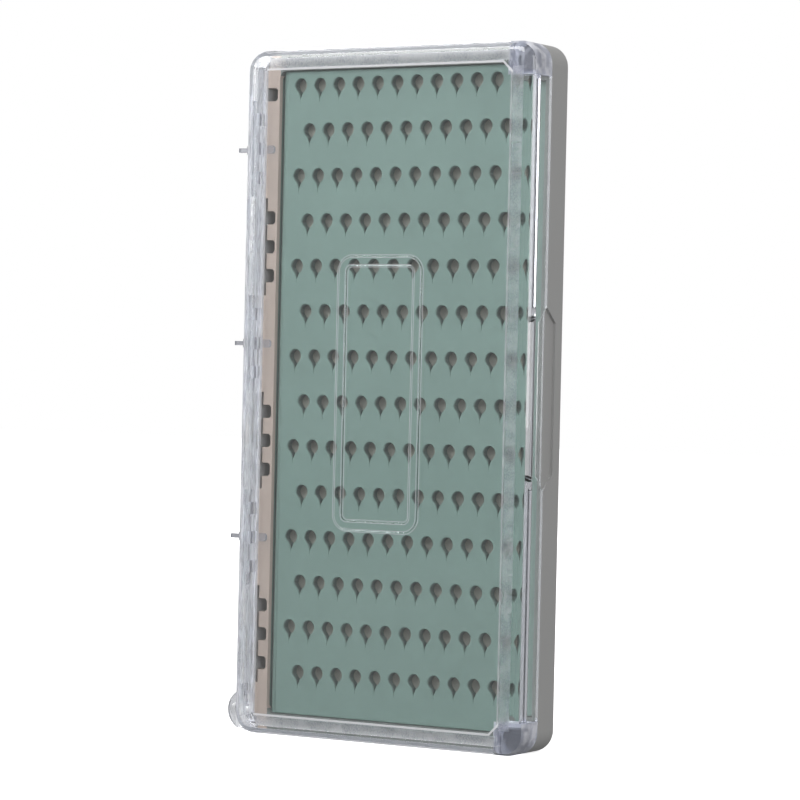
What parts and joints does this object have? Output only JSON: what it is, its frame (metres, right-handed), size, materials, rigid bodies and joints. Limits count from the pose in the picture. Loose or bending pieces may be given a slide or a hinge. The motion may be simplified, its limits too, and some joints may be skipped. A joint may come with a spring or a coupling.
{
  "type": "fly box",
  "caption": "Slim upright fly box: a clear hinged lid over an opaque tray that holds a slit green silicone mat, with a lanyard eye.",
  "frame": {"origin": "middle of the overall width and thickness at the lower short end, which the box stands on; the stop pegs on the hinge side put this 3.3 mm from the middle of the shells, towards the hinge", "axes": "+Z along the length, upwards; +X across the width from the hinge to the opening side; +Y through the thickness from the lid to the back of the tray"},
  "size_m": [0.093, 0.019, 0.1778],
  "materials": {
    "clear_polycarbonate": "clear, polished, with a grained band",
    "grey_plastic": "fine satin texture",
    "warm_grey_plastic": "fine satin texture",
    "green_silicone": "soft satin",
    "stainless_steel": "bright drawn",
    "nickel_plate": "bright plated"
  },
  "bodies": {
    "tray_body": {"tray": "grey_plastic", "insert_deck": "warm_grey_plastic", "silicone_mat": "green_silicone", "hinge_pin": "stainless_steel", "tray_magnet_upper": "nickel_plate", "tray_magnet_lower": "nickel_plate"},
    "lid_body": {"lid": "clear_polycarbonate", "lid_magnet_upper": "nickel_plate", "lid_magnet_lower": "nickel_plate"}
  },
  "joints": [
    {"name": "lid_hinge", "type": "hinge", "parent": "tray_body", "child": "lid_body", "pos_m": [-0.04125, -0.00103, 0], "axis": [0, 0, -1], "range_deg": [0, 98]}
  ]
}
